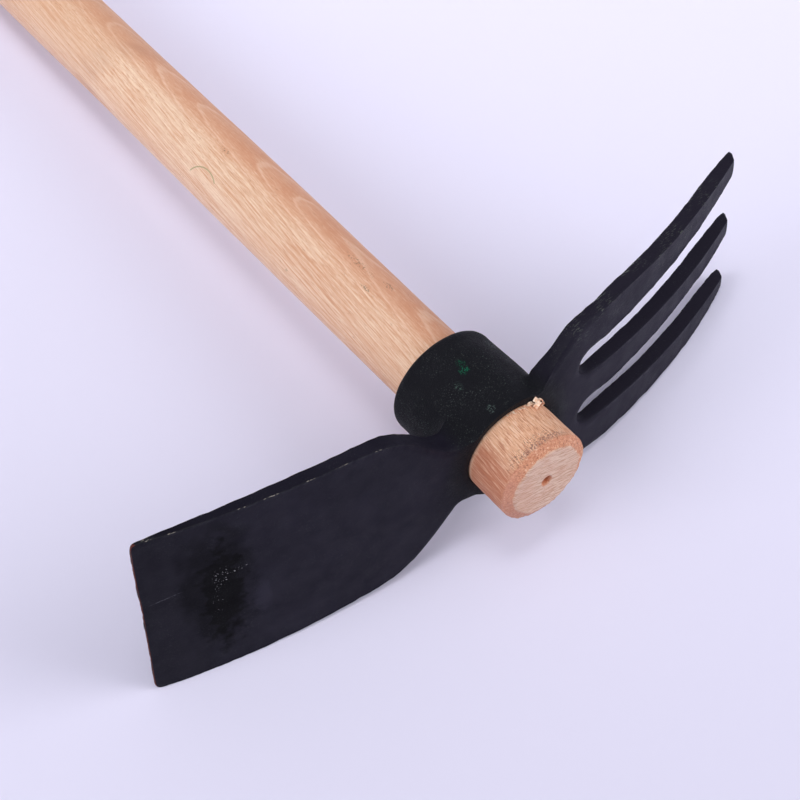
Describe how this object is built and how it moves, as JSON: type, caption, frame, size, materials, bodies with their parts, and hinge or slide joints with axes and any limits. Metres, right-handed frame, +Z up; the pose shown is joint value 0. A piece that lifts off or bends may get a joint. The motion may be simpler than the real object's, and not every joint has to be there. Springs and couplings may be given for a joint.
{
  "type": "hand cultivator",
  "caption": "Short-handled garden hand hoe: a forged black steel head with a hoe blade and a pronged fork on opposite sides of a round eye, on a turned wooden slip-fit handle.",
  "frame": {"origin": "on the floor, under the middle of the tool's bounding box as the tool lies at rest on the blade's lower corner, the lowest tine and the butt", "axes": "+Z up from the floor; +Y from the head towards the butt, along the handle as seen from above; the blade points to -X and the fork to +X"},
  "size_m": [0.2406, 0.3603, 0.0749],
  "materials": {
    "black_steel": "matte black paint over forged steel",
    "turned_wood": "bare sanded wood"
  },
  "bodies": {
    "root": {"forged_head": "black_steel", "handle": "turned_wood"}
  },
  "joints": []
}
